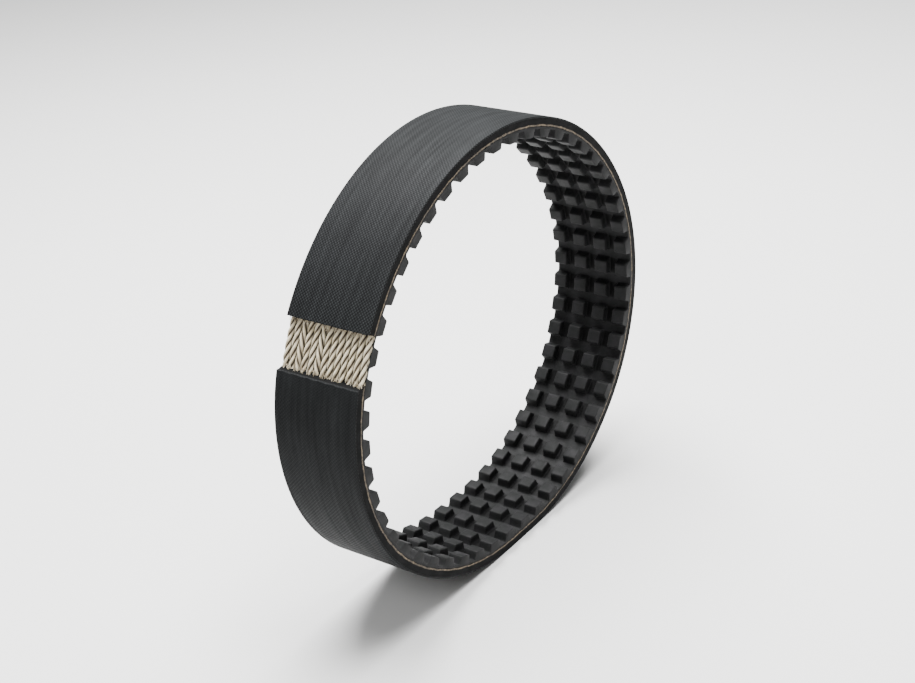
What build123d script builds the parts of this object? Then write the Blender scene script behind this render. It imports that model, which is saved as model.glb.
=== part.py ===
"""Wide endless timing belt, resting on its back, with a stretch of its tension cords laid bare.

The belt is built up in plies around one closed pitch line: toothed rubber inside, twisted
tension cords, backing rubber, and a woven cover bonded to the back. All sizes are millimetres.
X is along the floor, Y across the belt, +Z up, and the origin is the middle of the whole belt.
"""

import os
from math import cos, degrees, pi, radians, sin

from build123d import *

# Belt section, worked out from the tooth pitch
tooth_pitch = 10.0
tooth_count = 50
belt_width = 32.0
pitch_length = tooth_pitch * tooth_count

# Ply limits, as heights above the pitch line (negative is towards the teeth)
back_level = 3.0
cover_thickness = 0.6
ply_split_level = -0.5
land_level = -1.2
tip_level = -4.2

# Teeth: trapezoids, moulded as columns of blocks with grooves between
tooth_root_width = 6.7
tooth_tip_width = 4.7
tooth_tip_chamfer = 0.4
first_tooth = 2.5  # distance from the foot along the pitch line
block_columns = 4
block_width = 5.2

# Tension cords, side by side on the pitch line. The outer two show all round the edges of the
# belt, which trim them; the others are whole where they are bare and sunk a little way past it
cord_count = 13
cord_radius = 1.15
cord_sides = 6
edge_to_cord_axis = 1.08
bedded_length = tooth_pitch

# Resting shape of the pitch line: a flat foot, then one bottom, side and top arc on each side
foot_half_length = 6.0
bottom_radius = 81.6
bottom_sweep = radians(44.4)
top_sweep = radians(60.3)

# Window cut through the back, as distances along the pitch line from the foot, up the -X side.
# The upper cut is square to the belt; the lower one leans back, this far for each mm of height
window_start = 148.7
window_end = 163.8
window_lean = 0.54

# Values that follow from those above
cover_level = back_level - cover_thickness
cord_spacing = (belt_width - 2 * edge_to_cord_axis) / (cord_count - 1)
block_pitch = (belt_width - block_width) / (block_columns - 1)
side_sweep = pi - bottom_sweep - top_sweep
sweep_ratio = sin(bottom_sweep) / sin(top_sweep)
foot_share = foot_half_length / sin(top_sweep)
side_radius = (
    pitch_length / 2
    - foot_half_length
    - bottom_radius * bottom_sweep
    - top_sweep * (foot_share + bottom_radius * sweep_ratio)
) / (side_sweep + top_sweep * (1 - sweep_ratio))
top_radius = side_radius * (1 - sweep_ratio) + foot_share + bottom_radius * sweep_ratio
loop_height = (
    bottom_radius
    - (bottom_radius - side_radius) * cos(bottom_sweep)
    - (top_radius - side_radius) * cos(top_sweep)
    + top_radius
)
foot_z = -loop_height / 2

# One side of the loop, from the foot upwards, as pairs of radius and sweep
half_arcs = [
    (bottom_radius, bottom_sweep),
    (side_radius, side_sweep),
    (top_radius, top_sweep),
]


def draw_loop(level):
    """Draw, in the active line builder, the belt's outline at a height above the pitch line."""
    side_arcs = half_arcs[:2]
    crown = (top_radius, 2 * top_sweep)
    foot = foot_z - level
    edge = Line((-foot_half_length, foot), (foot_half_length, foot))
    for radius, sweep in [*side_arcs, crown, *reversed(side_arcs)]:
        edge = JernArc(edge @ 1, edge % 1, radius + level, degrees(sweep))


def draw_ply(low_level, high_level):
    """Draw, in the active sketch, the layer between two heights."""
    for level, mode in ((high_level, Mode.ADD), (low_level, Mode.SUBTRACT)):
        with BuildLine() as outline:
            draw_loop(level)
        make_face(outline.edges(), mode=mode)


def on_belt(distance):
    """Place on the pitch line at a distance from the foot, with local Y pointing inwards."""
    side = 1 if distance >= 0 else -1
    run = abs(distance)
    heading = 0.0
    if run <= foot_half_length:
        return Location((side * run, foot_z, 0))
    run -= foot_half_length
    centre_x = foot_half_length
    centre_z = foot_z + bottom_radius
    last_radius = bottom_radius
    for radius, sweep in half_arcs:
        centre_x += (last_radius - radius) * sin(heading)
        centre_z -= (last_radius - radius) * cos(heading)
        last_radius = radius
        turn = min(run / radius, sweep)
        heading += turn
        run -= turn * radius
        if run <= 0:
            break
    point_x = centre_x + last_radius * sin(heading)
    point_z = centre_z - last_radius * cos(heading)
    return Location((side * point_x, point_z, 0), (0, 0, side * degrees(heading)))


def belt_wedge(start, end, lean=0.0):
    """Sketch of the stretch between two cuts up the -X side; the lower cut may lean back."""
    reach = 2 * back_level
    cuts = ((start + lean * reach, -reach), (start - lean * reach, reach), (end, reach), (end, -reach))
    corners = []
    for distance, level in cuts:
        corner = on_belt(-distance) * Location((0, -level, 0))
        corners.append((corner.position.X, corner.position.Y))
    with BuildSketch() as wedge:
        with BuildLine():
            Polyline(*corners, close=True)
        make_face()
    return wedge.sketch


def tooth_profile():
    """Sketch of one tooth seen from the side, its root sunk a little into the ply behind it."""
    root_y = -land_level
    tip_y = -tip_level
    sink = (land_level - ply_split_level) / 2
    with BuildSketch() as profile:
        with BuildLine():
            Polyline(
                (-tooth_root_width / 2, root_y + sink),
                (-tooth_root_width / 2, root_y),
                (-tooth_tip_width / 2, tip_y),
                (tooth_tip_width / 2, tip_y),
                (tooth_root_width / 2, root_y),
                (tooth_root_width / 2, root_y + sink),
                close=True,
            )
        make_face()
        chamfer(profile.vertices().group_by(Axis.Y)[-1], tooth_tip_chamfer)
    return profile.sketch


def finish(part, name):
    """Name a finished piece and write it out."""
    part.label = name
    export_step(part, f"parts/{name}.step")


os.makedirs("parts", exist_ok=True)
loop_plane = Plane.XZ
window = belt_wedge(window_start, window_end, window_lean)
bare_stretch = belt_wedge(window_start - bedded_length, window_end + bedded_length)
tooth = tooth_profile()
tooth_places = [
    on_belt(first_tooth + (i - tooth_count // 2) * tooth_pitch) for i in range(tooth_count)
]

# Woven cover, bonded to the back and open at the window
with BuildPart() as back_cover:
    with BuildSketch(loop_plane):
        draw_ply(cover_level, back_level)
        add(window, mode=Mode.SUBTRACT)
    extrude(amount=belt_width / 2, both=True)
finish(back_cover.part, "back_cover")

# Backing rubber, which also beds the cords, open at the window
with BuildPart() as backing_rubber:
    with BuildSketch(loop_plane):
        draw_ply(ply_split_level, cover_level)
        add(window, mode=Mode.SUBTRACT)
    extrude(amount=belt_width / 2, both=True)
finish(backing_rubber.part, "backing_rubber")

# Toothed rubber: a thin ring with every tooth split across the belt into blocks
with BuildPart() as tooth_layer:
    with BuildSketch(loop_plane):
        draw_ply(land_level, ply_split_level)
    extrude(amount=belt_width / 2, both=True)
    for column in range(block_columns):
        column_y = (column - (block_columns - 1) / 2) * block_pitch
        with BuildSketch(loop_plane.offset(column_y)):
            with Locations(*tooth_places):
                add(tooth)
        extrude(amount=block_width / 2, both=True)
finish(tooth_layer.part, "tooth_layer")

# Tension cords, numbered from the -Y edge
for index in range(cord_count):
    axis_y = (index - (cord_count - 1) / 2) * cord_spacing
    is_outer = index in (0, cord_count - 1)
    with BuildPart() as tension_cord:
        with BuildLine(loop_plane.offset(-axis_y)) as cord_axis:
            draw_loop(0)
        foot_section = Plane(origin=(0, axis_y, foot_z), x_dir=(0, 1, 0), z_dir=(1, 0, 0))
        with BuildSketch(foot_section):
            RegularPolygon(cord_radius, cord_sides)
        sweep(path=cord_axis.wire())
        with BuildSketch(loop_plane):
            if is_outer:
                draw_ply(land_level, -land_level)
            else:
                add(bare_stretch)
        extrude(amount=belt_width / 2, both=True, mode=Mode.INTERSECT)
    finish(tension_cord.part, f"tension_cord_{index + 1:02d}")
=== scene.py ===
import random
from math import cos, hypot, pi, radians, sin

import bmesh
import bpy
from mathutils import Matrix, Vector


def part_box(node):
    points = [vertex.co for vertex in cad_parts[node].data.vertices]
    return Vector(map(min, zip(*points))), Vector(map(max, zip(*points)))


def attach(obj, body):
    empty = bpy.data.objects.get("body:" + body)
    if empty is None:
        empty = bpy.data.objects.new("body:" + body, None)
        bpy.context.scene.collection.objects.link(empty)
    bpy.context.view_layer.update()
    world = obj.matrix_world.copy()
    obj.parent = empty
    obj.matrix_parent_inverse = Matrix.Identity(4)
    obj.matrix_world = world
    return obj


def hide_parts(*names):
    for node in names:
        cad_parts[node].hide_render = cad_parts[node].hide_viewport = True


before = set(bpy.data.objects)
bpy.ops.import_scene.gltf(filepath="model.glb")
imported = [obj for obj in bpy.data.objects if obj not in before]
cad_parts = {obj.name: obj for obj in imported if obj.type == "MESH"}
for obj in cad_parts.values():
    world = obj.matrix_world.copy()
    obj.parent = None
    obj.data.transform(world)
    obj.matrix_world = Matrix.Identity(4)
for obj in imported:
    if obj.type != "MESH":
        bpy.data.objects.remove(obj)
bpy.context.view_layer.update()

random.seed(11)
BODY = "belt"
MM = 0.001

# ---------------------------------------------------------------- the belt's resting loop
# Sizes are in millimetres: heights above the pitch line, and distances along it from the foot.
TOOTH_PITCH = 10.0
TOOTH_COUNT = 50
LOOP_LENGTH = TOOTH_PITCH * TOOTH_COUNT
FOOT_HALF = 6.0
BOTTOM_RADIUS = 81.6
BOTTOM_SWEEP = radians(44.4)
TOP_SWEEP = radians(60.3)
SIDE_SWEEP = pi - BOTTOM_SWEEP - TOP_SWEEP
SWEEP_RATIO = sin(BOTTOM_SWEEP) / sin(TOP_SWEEP)
FOOT_SHARE = FOOT_HALF / sin(TOP_SWEEP)
SIDE_RADIUS = (
    LOOP_LENGTH / 2
    - FOOT_HALF
    - BOTTOM_RADIUS * BOTTOM_SWEEP
    - TOP_SWEEP * (FOOT_SHARE + BOTTOM_RADIUS * SWEEP_RATIO)
) / (SIDE_SWEEP + TOP_SWEEP * (1 - SWEEP_RATIO))
TOP_RADIUS = SIDE_RADIUS * (1 - SWEEP_RATIO) + FOOT_SHARE + BOTTOM_RADIUS * SWEEP_RATIO
HALF_ARCS = (
    (BOTTOM_RADIUS, BOTTOM_SWEEP),
    (SIDE_RADIUS, SIDE_SWEEP),
    (TOP_RADIUS, TOP_SWEEP),
)

cover_low, cover_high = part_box("back_cover")
backing_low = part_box("backing_rubber")[0]
cord_low, cord_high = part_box("tension_cord_07")
second_low, second_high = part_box("tension_cord_02")

HALF_WIDTH = cover_high.y / MM
BACK_LEVEL = 3.0
COVER_LEVEL = BACK_LEVEL - (backing_low.z - cover_low.z) / MM
SPLIT_LEVEL = -0.5
LAND_LEVEL = -1.2
TIP_LEVEL = -4.2
FOOT_Z = cover_low.z / MM + BACK_LEVEL
FIRST_TOOTH = 2.5
WINDOW = (-163.8, -148.7)  # its upper cut, then its lower one
WINDOW_LEAN = 0.54  # how far the lower cut leans back for each millimetre of height
BEDDED = 10.0  # how far the inner cords run on into the rubber

TOOTH_ROOT_HALF = 3.35
TOOTH_TIP_HALF = 2.35
BLOCK_COLUMNS = 4
BLOCK_HALF = 2.6
BLOCK_SPACING = (2 * HALF_WIDTH - 2 * BLOCK_HALF) / (BLOCK_COLUMNS - 1)

CORD_COUNT = 13
CORD_RADIUS = (cord_high.y - cord_low.y) / 2 / MM
CORD_SPACING = ((cord_low.y + cord_high.y) - (second_low.y + second_high.y)) / 2 / 5 / MM


def heading_and_point(distance):
    """Heading in the XZ plane and the point of the pitch line, at a distance from the foot."""
    distance = (distance + LOOP_LENGTH / 2) % LOOP_LENGTH - LOOP_LENGTH / 2
    side = 1 if distance >= 0 else -1
    run = abs(distance)
    if run <= FOOT_HALF:
        return 0.0, side * run, FOOT_Z
    run -= FOOT_HALF
    heading = 0.0
    centre_x = FOOT_HALF
    centre_z = FOOT_Z + BOTTOM_RADIUS
    last_radius = BOTTOM_RADIUS
    for radius, sweep in HALF_ARCS:
        centre_x += (last_radius - radius) * sin(heading)
        centre_z -= (last_radius - radius) * cos(heading)
        last_radius = radius
        turn = min(run / radius, sweep)
        heading += turn
        run -= turn * radius
        if run <= 1e-9:
            break
    x = centre_x + last_radius * sin(heading)
    z = centre_z - last_radius * cos(heading)
    return side * heading, side * x, z


def belt_point(distance, across, level):
    """A point of the belt in metres."""
    heading, x, z = heading_and_point(distance)
    return Vector((x + level * sin(heading), across, z - level * cos(heading))) * MM


# ---------------------------------------------------------------- mesh helpers
def finish_piece(mesh, name, nodes, material, smooth_angle=radians(40)):
    """Make the object, give it its material, attach it to the belt's body and hide the model's parts that
    it stands for.
    """
    mesh.materials.append(material)
    piece = bpy.data.objects.new(name, mesh)
    bpy.context.scene.collection.objects.link(piece)
    mesh.shade_smooth()
    mesh.set_sharp_from_angle(angle=smooth_angle)
    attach(piece, BODY)
    if nodes:
        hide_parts(*nodes)
    return piece


def mesh_from(name, points, faces, uvs):
    """Mesh with one UV pair, in metres, for each face corner."""
    mesh = bpy.data.meshes.new(name)
    mesh.from_pydata(points, [], faces)
    layer = mesh.uv_layers.new(name="belt_metres")
    corner = 0
    for face_uvs in uvs:
        for uv in face_uvs:
            layer.data[corner].uv = uv
            corner += 1
    mesh.validate()
    mesh.update()
    return mesh


def rounded_box_section(half_width, low_level, high_level, radius, across_steps, corner_steps=3):
    """Closed section (across, level) of a ply, with rounded arrises, counter-clockwise."""
    section = []
    corners = (
        (half_width - radius, low_level + radius, -pi / 2),
        (half_width - radius, high_level - radius, 0.0),
        (-half_width + radius, high_level - radius, pi / 2),
        (-half_width + radius, low_level + radius, pi),
    )
    for index, (across, level, start) in enumerate(corners):
        for step in range(corner_steps + 1):
            angle = start + pi / 2 * step / corner_steps
            section.append((across + radius * cos(angle), level + radius * sin(angle)))
        if index == 1:
            reach = half_width - radius
            for step in range(1, across_steps):
                section.append((reach - 2 * reach * step / across_steps, high_level))
    return section


CUT_EASE = 8.0  # a cut's unevenness dies away over this distance
CUT_SEEDS = (0, 7)


def sweep_ply(name, section, distances, closed, end_wave=None):
    """Mesh of a section swept along the loop. end_wave(across, seed) shifts the two ends."""
    points = []
    rows = len(distances)
    count = len(section)
    girth = [0.0]
    for (a0, l0), (a1, l1) in zip(section, section[1:] + section[:1]):
        girth.append(girth[-1] + hypot(a1 - a0, l1 - l0))
    first, last = distances[0], distances[-1]
    for distance in distances:
        near_first = max(0.0, 1 - (distance - first) / CUT_EASE)
        near_last = max(0.0, 1 - (last - distance) / CUT_EASE)
        for across, level in section:
            shift = 0.0
            if end_wave and not closed:
                shift = near_first * (WINDOW_LEAN * level + end_wave(across, CUT_SEEDS[0]))
                shift += near_last * end_wave(across, CUT_SEEDS[1])
            points.append(belt_point(distance + shift, across, level))
    faces = []
    uvs = []
    spans = rows if closed else rows - 1
    for row in range(spans):
        after = (row + 1) % rows
        u0 = distances[row] * MM
        u1 = u0 + (distances[1] - distances[0]) * MM
        for i in range(count):
            j = (i + 1) % count
            v0, v1 = girth[i] * MM, girth[i + 1] * MM
            faces.append((row * count + i, row * count + j, after * count + j, after * count + i))
            uvs.append(((u0, v0), (u0, v1), (u1, v1), (u1, v0)))
    if not closed:
        for row, flip in ((0, False), (rows - 1, True)):
            ring = [row * count + i for i in range(count)]
            ring_uvs = [(across * MM, level * MM) for across, level in section]
            faces.append(tuple(reversed(ring)) if not flip else tuple(ring))
            uvs.append(tuple(reversed(ring_uvs)) if not flip else tuple(ring_uvs))
    return mesh_from(name, points, faces, uvs)


def even_steps(start, end, step):
    """Evenly spaced values from start to end, about one step apart."""
    count = max(2, round((end - start) / step))
    return [start + (end - start) * i / count for i in range(count + 1)]


# ---------------------------------------------------------------- material helpers
class Shader:
    """A material's node tree, with short calls for the nodes used here."""

    def __init__(self, name):
        self.material = bpy.data.materials.new(name)
        self.material.use_nodes = True
        self.tree = self.material.node_tree
        self.surface = self.tree.nodes["Principled BSDF"]

    def put(self, socket, value):
        if isinstance(value, bpy.types.NodeSocket):
            self.tree.links.new(value, socket)
        else:
            socket.default_value = value

    def node(self, kind, **settings):
        made = self.tree.nodes.new(kind)
        for key, value in settings.items():
            setattr(made, key, value)
        return made

    def math(self, operation, a, b=0.0, c=0.0):
        made = self.node("ShaderNodeMath", operation=operation)
        for socket, value in zip(made.inputs, (a, b, c)):
            self.put(socket, value)
        return made.outputs[0]

    def uv(self):
        """UV in millimetres, as (along, across) sockets."""
        made = self.node("ShaderNodeUVMap", uv_map="belt_metres")
        split = self.node("ShaderNodeSeparateXYZ")
        self.put(split.inputs[0], made.outputs[0])
        return self.math("DIVIDE", split.outputs[0], MM), self.math("DIVIDE", split.outputs[1], MM)

    def join(self, x, y, z=0.0):
        made = self.node("ShaderNodeCombineXYZ")
        for socket, value in zip(made.inputs, (x, y, z)):
            self.put(socket, value)
        return made.outputs[0]

    def place(self):
        """Object position in millimetres."""
        made = self.node("ShaderNodeTexCoord")
        scaled = self.node("ShaderNodeVectorMath", operation="SCALE")
        self.put(scaled.inputs[0], made.outputs["Object"])
        scaled.inputs["Scale"].default_value = 1 / MM
        return scaled.outputs[0]

    def noise(self, vector, scale, detail=3.0, roughness=0.55):
        made = self.node("ShaderNodeTexNoise")
        self.put(made.inputs["Vector"], vector)
        made.inputs["Scale"].default_value = scale
        made.inputs["Detail"].default_value = detail
        made.inputs["Roughness"].default_value = roughness
        return made.outputs["Fac"]

    def spread(self, value, low, high, to_low, to_high):
        made = self.node("ShaderNodeMapRange")
        for socket, item in zip(made.inputs, (value, low, high, to_low, to_high)):
            self.put(socket, item)
        return made.outputs[0]

    def mix(self, share, one, other):
        made = self.node("ShaderNodeMix", data_type="RGBA")
        self.put(made.inputs["Factor"], share)
        self.put(made.inputs["A"], one)
        self.put(made.inputs["B"], other)
        return made.outputs["Result"]

    def scale_colour(self, colour, amount):
        made = self.node("ShaderNodeVectorMath", operation="SCALE")
        self.put(made.inputs[0], colour)
        self.put(made.inputs["Scale"], amount)
        return made.outputs[0]

    def bump(self, height, distance, strength=1.0, normal=None):
        made = self.node("ShaderNodeBump")
        made.inputs["Strength"].default_value = strength
        made.inputs["Distance"].default_value = distance * MM
        self.put(made.inputs["Height"], height)
        if normal:
            self.put(made.inputs["Normal"], normal)
        return made.outputs[0]

    def finish(self, colour, roughness, normal=None, specular=0.5, sheen=0.0):
        self.put(self.surface.inputs["Base Color"], colour)
        self.put(self.surface.inputs["Roughness"], roughness)
        self.surface.inputs["Specular IOR Level"].default_value = specular
        self.surface.inputs["Sheen Weight"].default_value = sheen
        if normal:
            self.put(self.surface.inputs["Normal"], normal)
        return self.material


# ---------------------------------------------------------------- materials
THREAD_PITCH = 0.85
HIGHLIGHT_FADE = 60.0  # the painted highlights on the weave fade over this distance above the window
# least strength of the painted weave highlights, away from the window
HIGHLIGHT_LEAST = 0.2
COVER_COLOUR = (0.0092, 0.0099, 0.0103)
GROOVE_PAINTED_SHADE = 0.2  # painted shade on the floor between two blocks, as a share of the rubber's own tone


def woven_cover_material():
    """Rubberised plain weave laid on the bias, rubbed along the belt, with painted highlights on the thread
    crowns and painted shade between them.
    """
    s = Shader("woven_cover")
    along, across = s.uv()
    warp_at = s.math("DIVIDE", s.math("ADD", along, across), THREAD_PITCH * 2 ** 0.5)
    weft_at = s.math("DIVIDE", s.math("SUBTRACT", along, across), THREAD_PITCH * 2 ** 0.5)

    def thread(own, other, sign):
        crown = s.math("ABSOLUTE", s.math("SINE", s.math("MULTIPLY", own, pi)))
        phase = s.math("SUBTRACT", s.math("ADD", other, s.math("FLOOR", own)), 0.5)
        over = s.math("COSINE", s.math("MULTIPLY", phase, pi))
        return s.math("MULTIPLY", crown, s.math("MULTIPLY_ADD", over, 0.45 * sign, 0.55))

    weave = s.math("MAXIMUM", thread(warp_at, weft_at, 1), thread(weft_at, warp_at, -1))
    streaks = s.noise(s.join(s.math("MULTIPLY", along, 0.05), across), 0.55, 4.0, 0.6)
    stretched = s.join(s.math("MULTIPLY", along, 0.12), s.math("MULTIPLY", across, 3.0))
    fine_streaks = s.noise(stretched, 0.8, 2.0)
    clouds = s.noise(s.join(along, across), 0.05, 3.0)
    highlight_variation = s.noise(s.join(along, across), 1.3, 2.0)
    tone = s.math(
        "MULTIPLY",
        s.spread(streaks, 0.3, 0.7, 0.75, 1.25),
        s.spread(fine_streaks, 0.3, 0.7, 0.88, 1.12),
    )
    tone = s.math("MULTIPLY", tone, s.spread(clouds, 0.3, 0.7, 0.85, 1.15))
    # Painted highlights on the thread crowns and painted shade between them, strongest just above the
    # window
    upper_cut = LOOP_LENGTH + WINDOW[0]
    highlight_strength = s.spread(along, upper_cut - HIGHLIGHT_FADE, upper_cut, HIGHLIGHT_LEAST, 1.0)
    # Painted highlights on the thread crowns, painted shade between them
    painted_crown_highlights = s.math(
        "MULTIPLY",
        s.spread(weave, 0.35, 1.0, -0.6, 1.3),
        s.spread(highlight_variation, 0.35, 0.65, 0.6, 1.4),
    )
    crown_highlight_factor = s.math("MULTIPLY_ADD", painted_crown_highlights, highlight_strength, 0.95)
    colour = s.scale_colour(COVER_COLOUR, s.math("MULTIPLY", tone, crown_highlight_factor))
    roughness = s.math(
        "ADD",
        s.spread(weave, 0.3, 1.0, 0.72, 0.5),
        s.spread(streaks, 0.3, 0.7, 0.06, -0.06),
    )
    normal = s.bump(weave, 0.10, 0.8)
    return s.finish(colour, roughness, normal, specular=0.05)


def rubber_material(name, base, gloss, cut=False):
    """Matte rubber with faint mottling and grain. Moulded rubber gets painted shade on the floor of the
    teeth's grooves, between the blocks.
    """
    s = Shader(name)
    place = s.place()
    mottle = s.noise(place, 0.25, 4.0)
    grain = s.noise(place, 6.0, 2.0)
    greenish = (base * 0.94, base, base * 0.97, 1)
    bluish = (base, base * 0.98, base * 1.04, 1)
    tint = s.mix(s.spread(mottle, 0.35, 0.65, 0.0, 1.0), greenish, bluish)
    tone = s.math(
        "MULTIPLY",
        s.spread(mottle, 0.3, 0.7, 0.8, 1.2),
        s.spread(grain, 0.3, 0.7, 0.9, 1.1),
    )
    if not cut:
        along = s.uv()[0]
        across = s.node("ShaderNodeSeparateXYZ")
        s.put(across.inputs[0], place)
        # Painted shade on the floor of the grooves between a tooth's blocks
        row = s.math("PINGPONG", s.math("SUBTRACT", along, FIRST_TOOTH), TOOTH_PITCH / 2)
        gap = s.math("PINGPONG", across.outputs["Y"], BLOCK_SPACING / 2)
        in_row = s.spread(row, TOOTH_ROOT_HALF - 0.6, TOOTH_ROOT_HALF, 1.0, 0.0)
        in_gap = s.spread(gap, 1.3, 1.85, 1.0, 0.0)
        painted_groove_shade = s.math("MULTIPLY", in_row, in_gap)
        tone = s.math("MULTIPLY", tone, s.spread(painted_groove_shade, 0.0, 1.0, 1.0, GROOVE_PAINTED_SHADE))
    colour = s.scale_colour(tint, tone)
    roughness = s.spread(mottle, 0.3, 0.7, 0.62, 0.5)
    normal = s.bump(grain, 0.05 if cut else 0.03, 0.6)
    return s.finish(colour, roughness, normal, specular=gloss)


def cord_material():
    """Cream twisted yarn with painted brown shade where strands meet and between neighbouring cords, soiled
    with rubber where the belt's edge cuts it.
    """
    s = Shader("tension_cord_yarn")
    along, around = s.uv()
    fibre_lines = s.join(
        s.math("MULTIPLY", s.math("MULTIPLY_ADD", around, 0.9, along), 0.6),
        s.math("MULTIPLY", around, 7.0),
    )
    fibres = s.noise(fibre_lines, 1.0, 3.0, 0.6)
    place = s.place()
    patches = s.noise(place, 0.35, 3.0)
    crevice_shade = s.node("ShaderNodeAttribute", attribute_name="painted_crevice_shade").outputs["Fac"]
    soil = s.node("ShaderNodeAttribute", attribute_name="soil").outputs["Fac"]
    clean = s.mix(s.spread(patches, 0.3, 0.7, 0.0, 1.0), (0.54, 0.455, 0.30, 1), (0.80, 0.72, 0.54, 1))
    striped = s.scale_colour(clean, s.spread(fibres, 0.3, 0.7, 0.72, 1.15))
    # Painted shade: dark brown where the strands meet and where the cord meets its neighbours
    yarn = s.mix(s.spread(crevice_shade, 0.10, 0.6, 0.0, 1.0), striped, (0.035, 0.02, 0.009, 1))
    specks = s.noise(place, 1.1, 3.0)
    dusty = s.mix(s.spread(specks, 0.4, 0.62, 0.0, 1.0), (0.04, 0.029, 0.018, 1), (0.15, 0.112, 0.068, 1))
    smears = s.noise(place, 0.10, 3.0, 0.6)
    dusty = s.mix(s.spread(smears, 0.45, 0.65, 0.0, 0.6), dusty, (0.02, 0.016, 0.012, 1))
    colour = s.mix(soil, yarn, dusty)
    normal = s.bump(fibres, 0.12, 0.9)
    return s.finish(colour, 0.75, normal, specular=0.25, sheen=0.1)


def fray_material():
    """Pale broken fibre."""
    s = Shader("frayed_fibre")
    tone = s.noise(s.place(), 0.8, 2.0)
    colour = s.mix(s.spread(tone, 0.3, 0.7, 0.0, 1.0), (0.30, 0.24, 0.15, 1), (0.62, 0.55, 0.43, 1))
    return s.finish(colour, 0.7, specular=0.3)


def floor_material():
    """Pale matte studio floor with the faintest unevenness."""
    s = Shader("studio_floor")
    clouds = s.noise(s.place(), 0.002, 2.0)
    colour = s.scale_colour((0.64, 0.64, 0.636), s.spread(clouds, 0.3, 0.7, 0.985, 1.015))
    return s.finish(colour, 0.85, specular=0.2)


# ---------------------------------------------------------------- cover and backing
def cut_wave(across, seed):
    """Small unevenness of a hand-cut edge, in millimetres."""
    return 0.10 * sin(across * 1.3 + seed) + 0.06 * sin(across * 3.1 + 2 * seed)


PLY_STEP = 1.2
COVER_ARRIS = 0.14
EDGE_INSET = 0.05  # how far the rubber stands back from the belt's edge face
CUT_INSET = 0.15  # and from the cover at each cut


def build_cover(material):
    """The cloth on the back, which starts above one cut and ends at the other."""
    section = rounded_box_section(HALF_WIDTH, COVER_LEVEL, BACK_LEVEL, COVER_ARRIS, 40)
    runs = even_steps(WINDOW[1], LOOP_LENGTH + WINDOW[0], PLY_STEP)
    mesh = sweep_ply("woven_back_cover", section, runs, False, cut_wave)
    return finish_piece(mesh, "woven_back_cover", ["back_cover"], material)


def build_backing(material):
    """The rubber under the cover, cut a little further back."""
    section = rounded_box_section(HALF_WIDTH - EDGE_INSET, SPLIT_LEVEL, COVER_LEVEL, 0.04, 12, 1)
    runs = even_steps(WINDOW[1] + CUT_INSET, LOOP_LENGTH + WINDOW[0] - CUT_INSET, PLY_STEP)
    mesh = sweep_ply("backing_ply", section, runs, False, cut_wave)
    return finish_piece(mesh, "backing_ply", ["backing_rubber"], material)


# ---------------------------------------------------------------- toothed rubber
ROOT_FILLET = 0.45
TIP_ROUND = 0.42
BLOCK_ROUND = 0.35  # upright corners of a block
EDGE_ROUND = 0.06  # and those that the belt's edge cuts
WORN_EDGE = 0.10


def block_rings():
    """Rings of a block from root to tip, as (height above the land, growth of each side)."""
    height = LAND_LEVEL - TIP_LEVEL
    rings = []
    for step in range(4):
        angle = pi / 2 * step / 3
        rings.append((ROOT_FILLET * (1 - cos(angle)) - 0.02, ROOT_FILLET * (1 - sin(angle))))
    rings.append((height * 0.5, 0.0))
    for step in range(5):
        angle = pi / 2 * step / 4
        rings.append((height - TIP_ROUND * (1 - sin(angle)), -TIP_ROUND * (1 - cos(angle))))
    return rings


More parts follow.
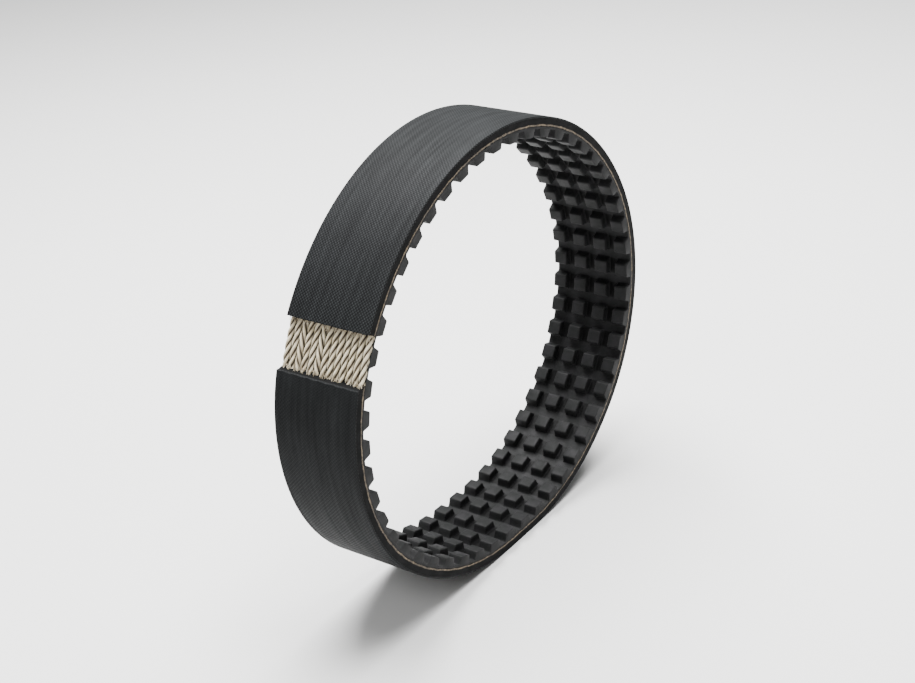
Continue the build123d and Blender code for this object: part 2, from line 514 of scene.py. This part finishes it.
def build_teeth(material):
    """The thin ring and its blocks, each block a little different, as moulded rubber is."""
    section = rounded_box_section(HALF_WIDTH - EDGE_INSET, LAND_LEVEL, SPLIT_LEVEL, 0.04, 12, 1)
    runs = even_steps(0, LOOP_LENGTH, 1.25)[:-1]
    ring_mesh = sweep_ply("ring", section, runs, True)
    bm = bmesh.new()
    bm.from_mesh(ring_mesh)
    bpy.data.meshes.remove(ring_mesh)
    height = LAND_LEVEL - TIP_LEVEL
    rings = block_rings()
    corner_steps = 3
    for tooth in range(TOOTH_COUNT):
        heading, x0, z0 = heading_and_point(FIRST_TOOTH + tooth * TOOTH_PITCH)
        tangent = Vector((cos(heading), 0, sin(heading)))
        inward = Vector((-sin(heading), 0, cos(heading)))
        origin = Vector((x0, 0, z0))
        for column in range(BLOCK_COLUMNS):
            middle = (column - (BLOCK_COLUMNS - 1) / 2) * BLOCK_SPACING
            slip = random.uniform(-0.07, 0.07)
            tall = random.uniform(-0.05, 0.03)
            lean = random.uniform(-0.02, 0.02)
            wear = random.uniform(0.8, 1.5)
            rows = []
            for up, growth in rings:
                share = max(0.0, up) / height
                along_half = TOOTH_ROOT_HALF + (TOOTH_TIP_HALF - TOOTH_ROOT_HALF) * share
                growth *= wear if growth < 0 else 1.0
                along_half += growth
                sides = [middle - BLOCK_HALF - growth, middle + BLOCK_HALF + growth]
                rounds = [BLOCK_ROUND, BLOCK_ROUND]
                edge_wear = WORN_EDGE if growth < -0.3 else 0.0
                if column == 0:
                    sides[0] = -HALF_WIDTH + EDGE_INSET + edge_wear
                    rounds[0] = EDGE_ROUND
                if column == BLOCK_COLUMNS - 1:
                    sides[1] = HALF_WIDTH - EDGE_INSET - edge_wear
                    rounds[1] = EDGE_ROUND
                row = []
                level = -LAND_LEVEL + up + tall * share
                for sx, side in ((1, 0), (1, 1), (-1, 1), (-1, 0)):
                    radius = rounds[side]
                    sy = 1 if side else -1
                    start = {(1, 0): -pi / 2, (1, 1): 0, (-1, 1): pi / 2, (-1, 0): pi}[(sx, side)]
                    for step in range(corner_steps + 1):
                        angle = start + pi / 2 * step / corner_steps
                        dx = sx * (along_half - radius) + radius * cos(angle)
                        dy = sides[side] - sy * radius + radius * sin(angle)
                        dx += slip * share + lean * up
                        point = origin + tangent * dx + inward * level + Vector((0, dy, 0))
                        row.append(bm.verts.new(point * MM))
                rows.append(row)
            for lower, upper in zip(rows, rows[1:]):
                for i in range(len(lower)):
                    j = (i + 1) % len(lower)
                    bm.faces.new((lower[i], lower[j], upper[j], upper[i]))
            bm.faces.new(rows[-1])
            bm.faces.new(list(reversed(rows[0])))
    bmesh.ops.recalc_face_normals(bm, faces=bm.faces)
    mesh = bpy.data.meshes.new("toothed_rubber")
    bm.to_mesh(mesh)
    bm.free()
    return finish_piece(mesh, "toothed_rubber", ["tooth_layer"], material, radians(35))


# ---------------------------------------------------------------- tension cords
STRANDS = 3
STRAND_SIDES = 12
LAY_LENGTH = 11.5
STRAND_RADIUS = 0.56
REVERSED_CORDS = (8, 11)
OUTER_TUCK = 0.985  # draws the outer cords in a little where the rubber covers them
EDGE_LINE_HALF = 0.28
EDGE_LINE_DEPTH = 0.35
EDGE_LINE_INSET = 0.01


def add_edge_line(side, points, faces, uvs, crevice_shade_values, soils):
    """The outer cord as the belt's edge shows it: a thin uneven line sawn through its yarn."""
    runs = even_steps(WINDOW[1] + 0.3, LOOP_LENGTH + WINDOW[0] - 0.3, 0.5)
    base = len(points)
    for run in runs:
        shift = 0.06 * sin(run * 0.9) + random.uniform(-0.05, 0.05)
        reach = EDGE_LINE_HALF * random.uniform(0.75, 1.25)
        corners = ((EDGE_LINE_DEPTH, -reach), (0.0, -reach), (0.0, reach), (EDGE_LINE_DEPTH, reach))
        for crevice_shade, level in corners:
            across = side * (HALF_WIDTH - EDGE_LINE_INSET - crevice_shade)
            points.append(belt_point(run, across, level + shift))
            crevice_shade_values.append(0.0)
            soils.append(1.0)
    for row in range(len(runs) - 1):
        u0, u1 = runs[row] * MM, runs[row + 1] * MM
        for i in range(4):
            j = (i + 1) % 4
            low, high = base + row * 4, base + (row + 1) * 4
            faces.append((low + i, low + j, high + j, high + i)[::side])
            v0, v1 = i * 0.5 * MM, (i + 1) * 0.5 * MM
            uvs.append(((u0, v0), (u0, v1), (u1, v1), (u1, v0))[::side])
    for row, way in ((0, -side), (len(runs) - 1, side)):
        faces.append(tuple(base + row * 4 + i for i in range(4))[::way])
        uvs.append(((0, 0),) * 4)


def build_cord(number, material):
    """One cord of three twisted strands, bare in the window and sunk in the rubber past it."""
    across_axis = (number - (CORD_COUNT + 1) / 2) * CORD_SPACING
    is_outer = number in (1, CORD_COUNT)
    runs = even_steps(WINDOW[0] - BEDDED + 0.2, WINDOW[1] + BEDDED - 0.2, 0.25)
    lay = LAY_LENGTH * random.uniform(0.94, 1.06)
    hand = 1 if number in REVERSED_CORDS else -1
    start_angle = random.uniform(0, 2 * pi)
    sides = STRAND_SIDES
    helix_radius = CORD_RADIUS - STRAND_RADIUS
    points, faces, uvs, crevice_shade_values, soils = [], [], [], [], []
    for strand in range(STRANDS):
        base = len(points)
        strand_angle = start_angle + 2 * pi * strand / STRANDS
        for run in runs:
            axis = across_axis
            if is_outer and not WINDOW[0] < run < WINDOW[1]:
                axis *= OUTER_TUCK
            turn = hand * 2 * pi * run / lay + strand_angle
            radius = STRAND_RADIUS * (1 + 0.05 * sin(run * 1.7 + strand * 2 + number))
            for i in range(sides):
                angle = turn + 2 * pi * i / sides
                off_axis = helix_radius * cos(turn) + radius * cos(angle)
                across = max(-HALF_WIDTH, min(HALF_WIDTH, axis + off_axis))
                level = helix_radius * sin(turn) + radius * sin(angle)
                points.append(belt_point(run, across, level))
                # Painted shade on the cord's sides where it meets the next cord; each strand's inner side
                # gets painted shade too
                painted_gap_shade = 0.6 * (off_axis / CORD_RADIUS) ** 8
                crevice_shade_values.append(max(0.5 - 0.5 * cos(2 * pi * i / sides), painted_gap_shade))
                soils.append(0.0)
        for row in range(len(runs) - 1):
            u0, u1 = runs[row] * MM, runs[row + 1] * MM
            low, high = base + row * sides, base + (row + 1) * sides
            for i in range(sides):
                j = (i + 1) % sides
                v0 = 2 * pi * STRAND_RADIUS * i / sides * MM
                v1 = 2 * pi * STRAND_RADIUS * (i + 1) / sides * MM
                faces.append((low + i, low + j, high + j, high + i))
                uvs.append(((u0, v0), (u0, v1), (u1, v1), (u1, v0)))
        faces.append(tuple(base + i for i in reversed(range(sides))))
        faces.append(tuple(base + (len(runs) - 1) * sides + i for i in range(sides)))
        uvs.extend([((0, 0),) * sides] * 2)
    if is_outer:
        add_edge_line(1 if across_axis > 0 else -1, points, faces, uvs, crevice_shade_values, soils)
    name = f"twisted_cord_{number:02d}"
    mesh = mesh_from(name, points, faces, uvs)
    for label, values in (("painted_crevice_shade", crevice_shade_values), ("soil", soils)):
        mesh.attributes.new(label, "FLOAT", "POINT").data.foreach_set("value", values)
    return finish_piece(mesh, name, [f"tension_cord_{number:02d}"], material, radians(60))


FIBRES_PER_CORD = 7  # at each cut
FIBRE_STEPS = 4
FIBRE_SIDES = 5
FIBRE_TOP = 2.6


def build_fray(material):
    """Short broken fibres that stand out of the rubber where the window's two cuts cross the cords."""
    points, faces, uvs = [], [], []
    for number in range(1, CORD_COUNT + 1):
        middle = (number - (CORD_COUNT + 1) / 2) * CORD_SPACING
        for fibre in range(2 * FIBRES_PER_CORD):
            at_upper_cut = fibre < FIBRES_PER_CORD
            level = random.uniform(0.3, 1.5)
            across = middle + random.uniform(-1.0, 1.0)
            across = max(-HALF_WIDTH + 0.3, min(HALF_WIDTH - 0.3, across))
            # Each fibre starts just inside the rubber and runs into the window
            if at_upper_cut:
                start, way = WINDOW[0] - 0.3, 1
            else:
                start, way = WINDOW[1] + WINDOW_LEAN * level + 0.3, -1
            length = random.uniform(0.8, 2.2)
            drift = random.uniform(-0.8, 0.8)
            rise = random.uniform(-0.2, 0.7)
            thick = random.uniform(0.09, 0.19)
            base = len(points)
            for step in range(FIBRE_STEPS + 1):
                share = step / FIBRE_STEPS
                run = start + way * length * share
                radius = thick * (1 - 0.55 * share)
                for corner in range(FIBRE_SIDES):
                    angle = 2 * pi * corner / FIBRE_SIDES
                    points.append(belt_point(
                        run,
                        across + drift * share * share + radius * cos(angle),
                        min(FIBRE_TOP, level + rise * share * share + radius * sin(angle)),
                    ))
            for step in range(FIBRE_STEPS):
                low, high = base + step * FIBRE_SIDES, base + (step + 1) * FIBRE_SIDES
                for corner in range(FIBRE_SIDES):
                    after = (corner + 1) % FIBRE_SIDES
                    faces.append((low + corner, low + after, high + after, high + corner))
                    uvs.append(((0, 0),) * 4)
            faces.append(tuple(base + FIBRE_STEPS * FIBRE_SIDES + corner for corner in range(FIBRE_SIDES)))
            uvs.append(((0, 0),) * FIBRE_SIDES)
    mesh = mesh_from("frayed_fibres", points, faces, uvs)
    return finish_piece(mesh, "frayed_fibres", [], material, radians(60))


# ---------------------------------------------------------------- stage, light and camera
FLOOR_REACH = 6.0
WORLD_STRENGTH = 0.34


def build_floor(material):
    """Level floor that the belt's foot rests on."""
    size = FLOOR_REACH
    mesh = bpy.data.meshes.new("studio_floor")
    z = cover_low.z
    corners = [(-size, -size, z), (size, -size, z), (size, size, z), (-size, size, z)]
    mesh.from_pydata(corners, [], [(0, 1, 2, 3)])
    mesh.materials.append(material)
    floor_object = bpy.data.objects.new("studio_floor", mesh)
    bpy.context.scene.collection.objects.link(floor_object)


def area_light(name, place, target, size, power):
    """Soft square light at a place, aimed at a target, in metres."""
    light = bpy.data.lights.new(name, "AREA")
    light.shape = "SQUARE"
    light.size = size
    light.energy = power
    lamp = bpy.data.objects.new(name, light)
    lamp.location = place
    lamp.rotation_euler = (Vector(target) - Vector(place)).to_track_quat("-Z", "Y").to_euler()
    bpy.context.scene.collection.objects.link(lamp)


def build_lights():
    """A large soft light overhead, a weak one from the left, and an even pale surround."""
    area_light("key_overhead", (0.15, 0.10, 0.74), (0, 0, -0.1), 0.7, 47)
    area_light("fill_left", (-0.85, 0.0, 0.75), (0, 0, 0), 0.5, 5)
    world = bpy.data.worlds.new("studio")
    world.use_nodes = True
    background = world.node_tree.nodes["Background"]
    background.inputs["Color"].default_value = (1, 1, 1, 1)
    background.inputs["Strength"].default_value = WORLD_STRENGTH
    bpy.context.scene.world = world


CAMERA_AZIMUTH = radians(-53.444)
CAMERA_ELEVATION = radians(26.187)
CAMERA_ROLL = radians(4.095)
CAMERA_LENS = 61.63
CAMERA_OFFSET = (0.00555, 0.001764, 0.54392)  # belt's centre right of, above and ahead of the camera's axis
CAMERA_SENSOR = 36.0


def build_camera():
    az, el, roll = CAMERA_AZIMUTH, CAMERA_ELEVATION, CAMERA_ROLL
    back = Vector((sin(az) * cos(el), -cos(az) * cos(el), sin(el)))
    level_right = Vector((cos(az), sin(az), 0))
    level_up = back.cross(level_right)
    right = level_right * cos(roll) - level_up * sin(roll)
    up = level_right * sin(roll) + level_up * cos(roll)
    centre = (cover_low + cover_high) / 2
    across, rise, away = CAMERA_OFFSET
    place = centre + back * away - right * across - up * rise
    data = bpy.data.cameras.new("photo_camera")
    data.lens = CAMERA_LENS
    data.sensor_width = CAMERA_SENSOR
    data.clip_start = 0.01
    camera = bpy.data.objects.new("photo_camera", data)
    camera.matrix_world = Matrix.Translation(place) @ Matrix((right, up, back)).transposed().to_4x4()
    bpy.context.scene.collection.objects.link(camera)
    bpy.context.scene.camera = camera


build_cover(woven_cover_material())
build_backing(rubber_material("backing_rubber_cut", 0.0045, 0.03, cut=True))
build_teeth(rubber_material("tooth_rubber_moulded", 0.0125, 0.08))
yarn = cord_material()
for number in range(1, CORD_COUNT + 1):
    build_cord(number, yarn)
build_fray(fray_material())
build_floor(floor_material())
build_lights()
build_camera()
